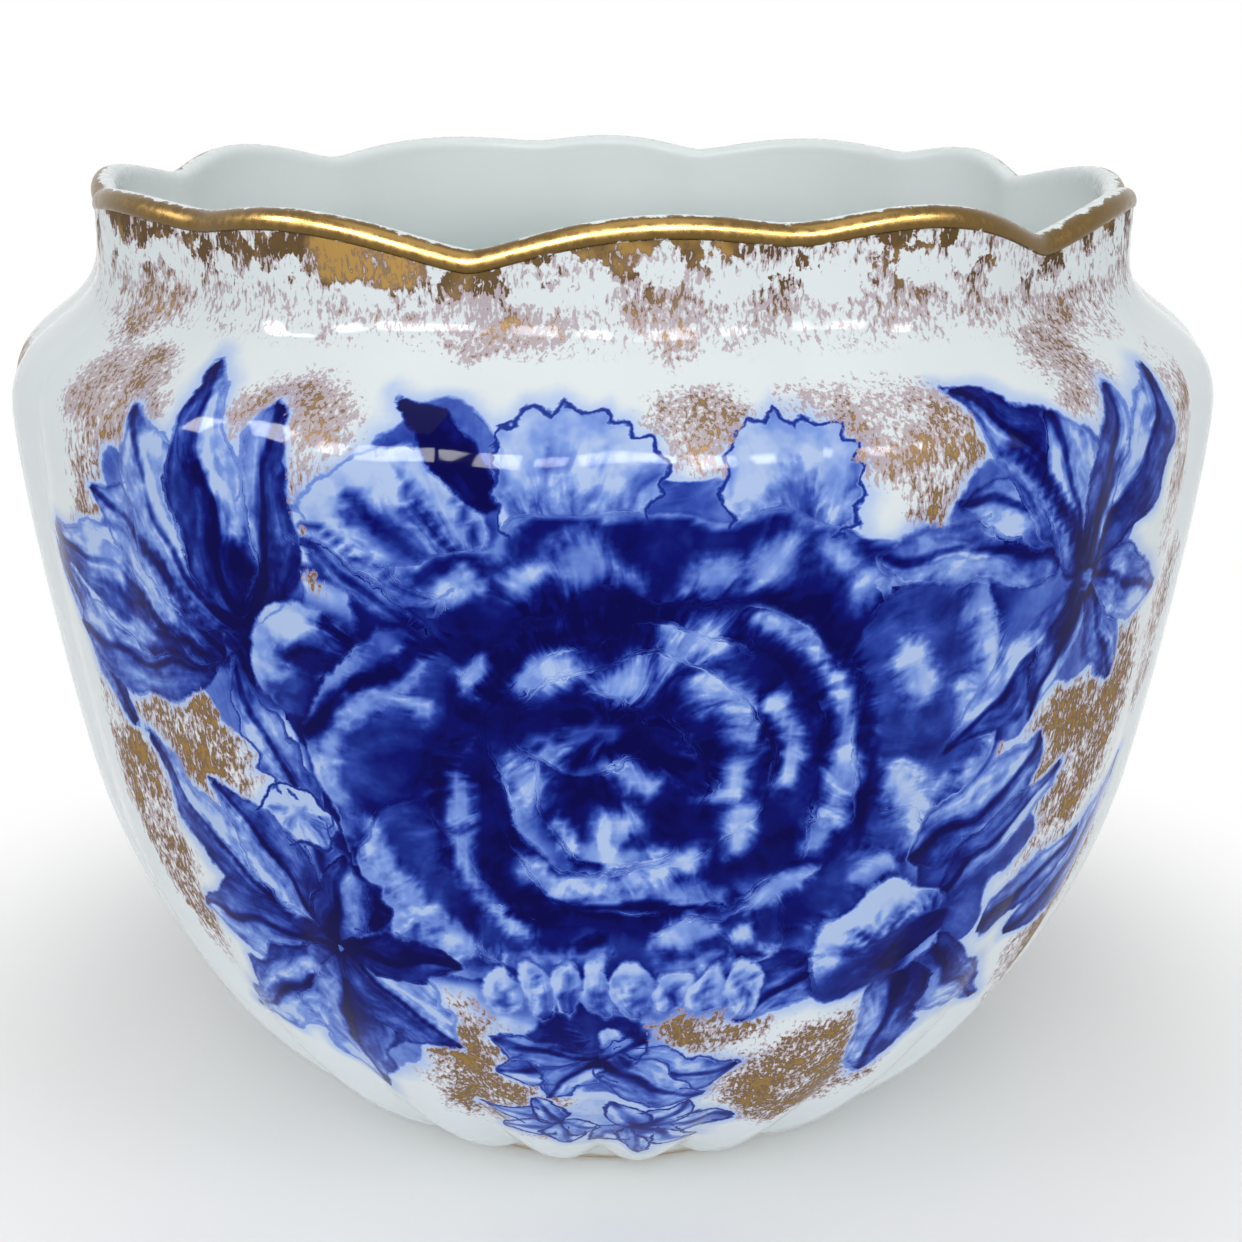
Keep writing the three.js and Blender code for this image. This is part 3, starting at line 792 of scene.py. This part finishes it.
# Dabs of gold over the fired glaze: thin and mauve where little of it took, bright where it lies
# thick, and darkened in the clouds under the lip by painted shade, a painted dark reflection
GOLD_THIN = (0.18, 0.118, 0.068, 1)
GOLD_THICK = (0.31, 0.185, 0.05, 1)
GOLD_PAINTED_SHADE = (0.062, 0.036, 0.012, 1)
MAUVE = (0.42, 0.32, 0.355, 1)
density, rich, wiped_and_shaded_clouds = parts("gilding", "Vector")[:3]
dabs = glaze.node("ShaderNodeMapping", {"Vector": glaze.place, "Scale": (1, 1, 0.42)}).outputs[0]
dab = glaze.sway(dabs, 1100, 3, 0.6, 0.4)
patchy = glaze.sway(glaze.place, 105, 5, 0.68)
took = glaze.math("ADD", glaze.math("MULTIPLY", dab, 3.6), glaze.math("MULTIPLY", patchy, 3.0))
took = glaze.math("ADD", took, glaze.math("SUBTRACT", density, 0.98))
wiped = glaze.ease(glaze.noise(glaze.place, 120, 5, 0.6), 0.48, 0.52)
took = glaze.math("SUBTRACT", took, glaze.math("MULTIPLY", wiped, wiped_and_shaded_clouds))
shown = glaze.ease(density, 0.03, 0.25)
mauve = glaze.math("MULTIPLY", glaze.ease(took, -0.5, -0.15), shown)
took = glaze.math("SUBTRACT", took, glaze.math("MULTIPLY", glaze.math("SUBTRACT", 1.0, rich), 0.42))
gold = glaze.math("MULTIPLY", glaze.ease(took, -0.04, 0.05), shown)
bright = glaze.ease(took, 0.3, 0.65)
tint = glaze.mix(bright, GOLD_THIN, GOLD_THICK)
# Painted shade: in the clouds under the lip the gold is darkened, as if it reflected a dark room.
painted_shade_share = glaze.ease(glaze.noise(glaze.place, 70, 3), 0.4, 0.52, 0.2, 0.85)
tint = glaze.mix(glaze.math("MULTIPLY", wiped_and_shaded_clouds, painted_shade_share), tint, GOLD_PAINTED_SHADE)
colour = glaze.mix(glaze.math("MULTIPLY", mauve, 0.8), blue, MAUVE)
colour = glaze.mix(gold, colour, tint)
# The wall's inside takes the inside glaze, painted lighter as painted light against the shade in the
# hollow.
colour = glaze.mix(glaze.ease(painted("outside")["Fac"], 0.2, 0.8), lightened_inside_glaze(glaze), colour)
glaze.feed(glaze.shader.inputs["Base Color"], colour)
glaze.feed(glaze.shader.inputs["Metallic"], glaze.math("MULTIPLY", gold, 0.15))
glaze.feed(glaze.shader.inputs["Roughness"], glaze.ease(gold, 0, 1, 0.06, 0.56))
glaze.shader.inputs["Specular IOR Level"].default_value = GLAZE_SPECULAR
ripple = glaze.noise(glaze.place, 36, 3, 0.5)
ripple = glaze.node("ShaderNodeBump", {"Strength": 0.2, "Distance": 0.002, "Height": ripple})
glaze.feed(glaze.shader.inputs["Normal"], ripple.outputs[0])
mesh.materials.append(glaze.material)
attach(wall, "root")
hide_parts("body_wall")

# The lip: the wall's own top edge, rounded and scalloped by hand and banded with burnished gold
# that has worn back to the glaze along the inside.
LIP_SEAT = WALL_TOP
LIP_TOP = RIM_HEIGHT - 0.1
LIP_FLARE = 0.75
LIP_GOLD = (0.155, 0.096, 0.032, 1)
INSIDE_WEAR = (5.3, 5.9)
SEAT_WEAR = (-0.9, -0.3)
crown = np.array([NECK[0] + (LIP_FLARE - THICKNESS) / 2, LIP_TOP])
outer_side = cubic((NECK[0], LIP_SEAT), (NECK[0] + LIP_FLARE * 1.5, LIP_SEAT + 0.44),
                   (NECK[0] + LIP_FLARE, LIP_TOP), crown, 12)
inner_edge = NECK[0] - THICKNESS
inner_side = cubic(crown, (inner_edge + LIP_FLARE / 2, LIP_TOP), (inner_edge, LIP_TOP - 1.3),
                   (inner_edge, LIP_SEAT), 10)
lip_section = [(x, z, 1, 0) for x, z in [*outer_side, *inner_side[1:]]]
lip = turn_on_wheel("gilt_lip_band", lip_section, COLUMNS)
press_mesh(lip.data)
lip.data.set_sharp_from_angle(angle=math.radians(60))

# Its gold is worn through beyond a ragged line on the inside, and here and there at its seat
gilt = Finish("worn_gilding")
round_lip = gilt.node("ShaderNodeAttribute", attribute_name="arc").outputs["Fac"]
wear = gilt.math("MULTIPLY", gilt.sway(gilt.place, 200, 5, 0.7), 7.0)
worn_inside = gilt.ease(gilt.math("ADD", round_lip, wear), *INSIDE_WEAR)
seat_line = gilt.math("ADD", round_lip, gilt.math("MULTIPLY", wear, 1.1))
worn = gilt.math("MAXIMUM", worn_inside, gilt.ease(seat_line, *SEAT_WEAR, 1, 0))
burnish = gilt.ease(gilt.noise(gilt.place, 500, 3, 0.6), 0.3, 0.7, 0.2, 0.34)
# Where its gold is worn, the lip shows the inside glaze colour, painted lighter as painted light like
# the wall's inside.
gilt.feed(gilt.shader.inputs["Base Color"], gilt.mix(worn, LIP_GOLD, (*INSIDE_DEEP_LIGHTENED, 1)))
gilt.feed(gilt.shader.inputs["Metallic"], gilt.math("SUBTRACT", 1.0, worn))
gilt.feed(gilt.shader.inputs["Roughness"], burnish)
gilt.shader.inputs["Specular IOR Level"].default_value = GLAZE_SPECULAR
lip.data.materials.append(gilt.material)
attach(lip, "root")
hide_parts("gilt_lip")

# The floor: a flat bat of clay rolled out, cut round and luted into the open bottom of the wall.
# It is glazed with the inside.
bat_low, bat_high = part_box("floor_bat")
bat = bmesh.new()
bmesh.ops.create_circle(bat, cap_ends=True, segments=144, radius=bat_high.x)
bmesh.ops.translate(bat, verts=bat.verts, vec=(0, 0, bat_low.z))
raised = bmesh.ops.extrude_face_region(bat, geom=bat.faces[:])
raised = [item for item in raised["geom"] if isinstance(item, bmesh.types.BMVert)]
bmesh.ops.translate(bat, verts=raised, vec=(0, 0, bat_high.z - bat_low.z))
bmesh.ops.recalc_face_normals(bat, faces=bat.faces)
bat_mesh = bpy.data.meshes.new("floor_bat")
bat.to_mesh(bat_mesh)
bat.free()
floor_piece = bpy.data.objects.new("glazed_floor", bat_mesh)
scene.collection.objects.link(floor_piece)
plain = Finish("plain_glaze")
# The floor takes the inside glaze, painted lighter as painted light against the shade in the hollow.
plain.feed(plain.shader.inputs["Base Color"], lightened_inside_glaze(plain))
plain.shader.inputs["Roughness"].default_value = 0.08
plain.shader.inputs["Specular IOR Level"].default_value = GLAZE_SPECULAR
bat_mesh.materials.append(plain.material)
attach(floor_piece, "root")
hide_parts("floor_bat")

# The foot: a low ring turned on the wheel and luted under the pot. Its bottom is wiped clean of
# glaze and shows the bare cream body where it meets the table.
_, ring_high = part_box("foot_ring")
RING_OUTER = ring_high.x / MM
RING_WIDTH = 10
RING_INNER = RING_OUTER - RING_WIDTH
RING_HEIGHT = ring_high.z / MM
ROUND = 1.8
GLAZE_LINE = (0.0018, 0.0026)
CLAY_DEEP = (0.52, 0.44, 0.33, 1)
CLAY_PALE = (0.66, 0.58, 0.46, 1)


def quarter(x, z, start, steps=5):
    """Points round a quarter turn of the ring's rounded edge, from the angle start."""
    turns = [math.radians(start + 90 * step / steps) for step in range(steps + 1)]
    return [(x + ROUND * math.cos(turn), z + ROUND * math.sin(turn)) for turn in turns]


ring_section = [(RING_INNER, RING_HEIGHT), *quarter(RING_INNER + ROUND, ROUND, 180),
                *quarter(RING_OUTER - ROUND, ROUND, 270), (RING_OUTER, RING_HEIGHT)]
ring = turn_on_wheel("foot_rim", ring_section, 192)
ring.data.set_sharp_from_angle(angle=math.radians(50))
biscuit = Finish("bare_biscuit")
bare = biscuit.noise(biscuit.place, 400, 4, 0.6)
height_up = biscuit.node("ShaderNodeSeparateXYZ", {"Vector": biscuit.place}).outputs["Z"]
ragged_height = biscuit.math("ADD", height_up, biscuit.math("MULTIPLY", bare, 0.0012))
glazed = biscuit.ease(ragged_height, *GLAZE_LINE)
clay = biscuit.mix(bare, CLAY_DEEP, CLAY_PALE)
biscuit.feed(biscuit.shader.inputs["Base Color"], biscuit.mix(glazed, clay, (*GLAZE_WHITE, 1)))
biscuit.feed(biscuit.shader.inputs["Roughness"], biscuit.ease(glazed, 0, 1, 0.85, 0.12))
ring.data.materials.append(biscuit.material)
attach(ring, "root")
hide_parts("foot_ring")

# The stage: a pale floor that keeps the pot's shadow and runs out into white, soft window-like
# lamps in front, and bright panes that only show as highlights in the glaze.
FLOOR_SIZE = 4
FLOOR_FADE = (0.12, 0.28)
WORLD_STRENGTH = 0.345
LAMP_AIM = (0, 0, 0.13)
PANE_DISTANCE = 1.4
PANE_HEIGHT = 0.95
PANE_POWER = 220
floor_mesh = bpy.data.meshes.new("stage_floor")
stage = bmesh.new()
bmesh.ops.create_grid(stage, x_segments=1, y_segments=1, size=FLOOR_SIZE)
stage.to_mesh(floor_mesh)
stage.free()
floor = bpy.data.objects.new("stage_floor", floor_mesh)
scene.collection.objects.link(floor)
paper = Finish("pale_floor")
paper.shader.inputs["Base Color"].default_value = (0.94, 0.94, 0.94, 1)
paper.shader.inputs["Roughness"].default_value = 0.9
distance = paper.node("ShaderNodeVectorMath", {0: paper.place}, operation="LENGTH").outputs["Value"]
rays = paper.node("ShaderNodeLightPath").outputs
white = paper.node("ShaderNodeEmission", {"Color": (1, 1, 1, 1), "Strength": 1.0})
looked = paper.math("MAXIMUM", rays["Is Camera Ray"], rays["Is Glossy Ray"])
looked = paper.math("MAXIMUM", looked, rays["Is Transmission Ray"])
seen = paper.math("MULTIPLY", paper.ease(distance, *FLOOR_FADE), looked)
blended = paper.node("ShaderNodeMixShader", {0: seen, 1: paper.shader.outputs[0], 2: white.outputs[0]})
paper.feed(paper.tree.nodes["Material Output"].inputs["Surface"], blended.outputs[0])
floor_mesh.materials.append(paper.material)

world = bpy.data.worlds.new("studio")
world.use_nodes = True
scene.world = world
nodes, links = world.node_tree.nodes, world.node_tree.links
ray = nodes.new("ShaderNodeLightPath")
seen = ray.outputs["Is Camera Ray"]
for kind in ("Is Glossy Ray", "Is Transmission Ray"):
    either = nodes.new("ShaderNodeMath")
    either.operation = "MAXIMUM"
    links.new(seen, either.inputs[0])
    links.new(ray.outputs[kind], either.inputs[1])
    seen = either.outputs[0]
strength = nodes.new("ShaderNodeMix")
links.new(seen, strength.inputs["Factor"])
strength.inputs["A"].default_value = WORLD_STRENGTH
strength.inputs["B"].default_value = 1.0
links.new(strength.outputs["Result"], nodes["Background"].inputs["Strength"])
nodes["Background"].inputs["Color"].default_value = (1, 1, 1, 1)


def lamp(name, place, size, power, shine_only=False):
    """A rectangular soft lamp that faces the pot, or a bright pane that is only seen in its glaze."""
    light = bpy.data.lights.new(name, "AREA")
    light.shape = "RECTANGLE"
    light.size, light.size_y = size
    light.energy = power
    stand = bpy.data.objects.new(name, light)
    stand.location = place
    stand.visible_diffuse = not shine_only
    way = stand.location.copy()
    way.x, way.y, way.z = (LAMP_AIM[axis] - place[axis] for axis in range(3))
    stand.rotation_euler = way.to_track_quat("-Z", "Y").to_euler()
    scene.collection.objects.link(stand)


lamp("overhead", (0, -0.3, 1.5), (1.2, 1.0), 6.5)
lamp("left_window", (-1.3, -0.7, 0.62), (0.4, 0.4), 1.4)
lamp("front_window", (-0.1, -1.3, 0.8), (0.9, 0.6), 5.6)
lamp("right_window", (1.3, -0.9, 0.7), (0.4, 0.6), 2.8)
for pane, (turn, wide, high) in enumerate((
    (-76, 0.3, 0.4), (-50, 0.32, 0.32), (-29, 0.46, 0.42), (-6, 0.34, 0.28), (15, 0.5, 0.4),
    (37, 0.28, 0.28), (58, 0.2, 0.24),
)):
    bearing = math.radians(turn)
    place = (PANE_DISTANCE * math.sin(bearing), -PANE_DISTANCE * math.cos(bearing), PANE_HEIGHT)
    lamp(f"pane_{pane}", place, (wide, high), PANE_POWER * wide * high, shine_only=True)
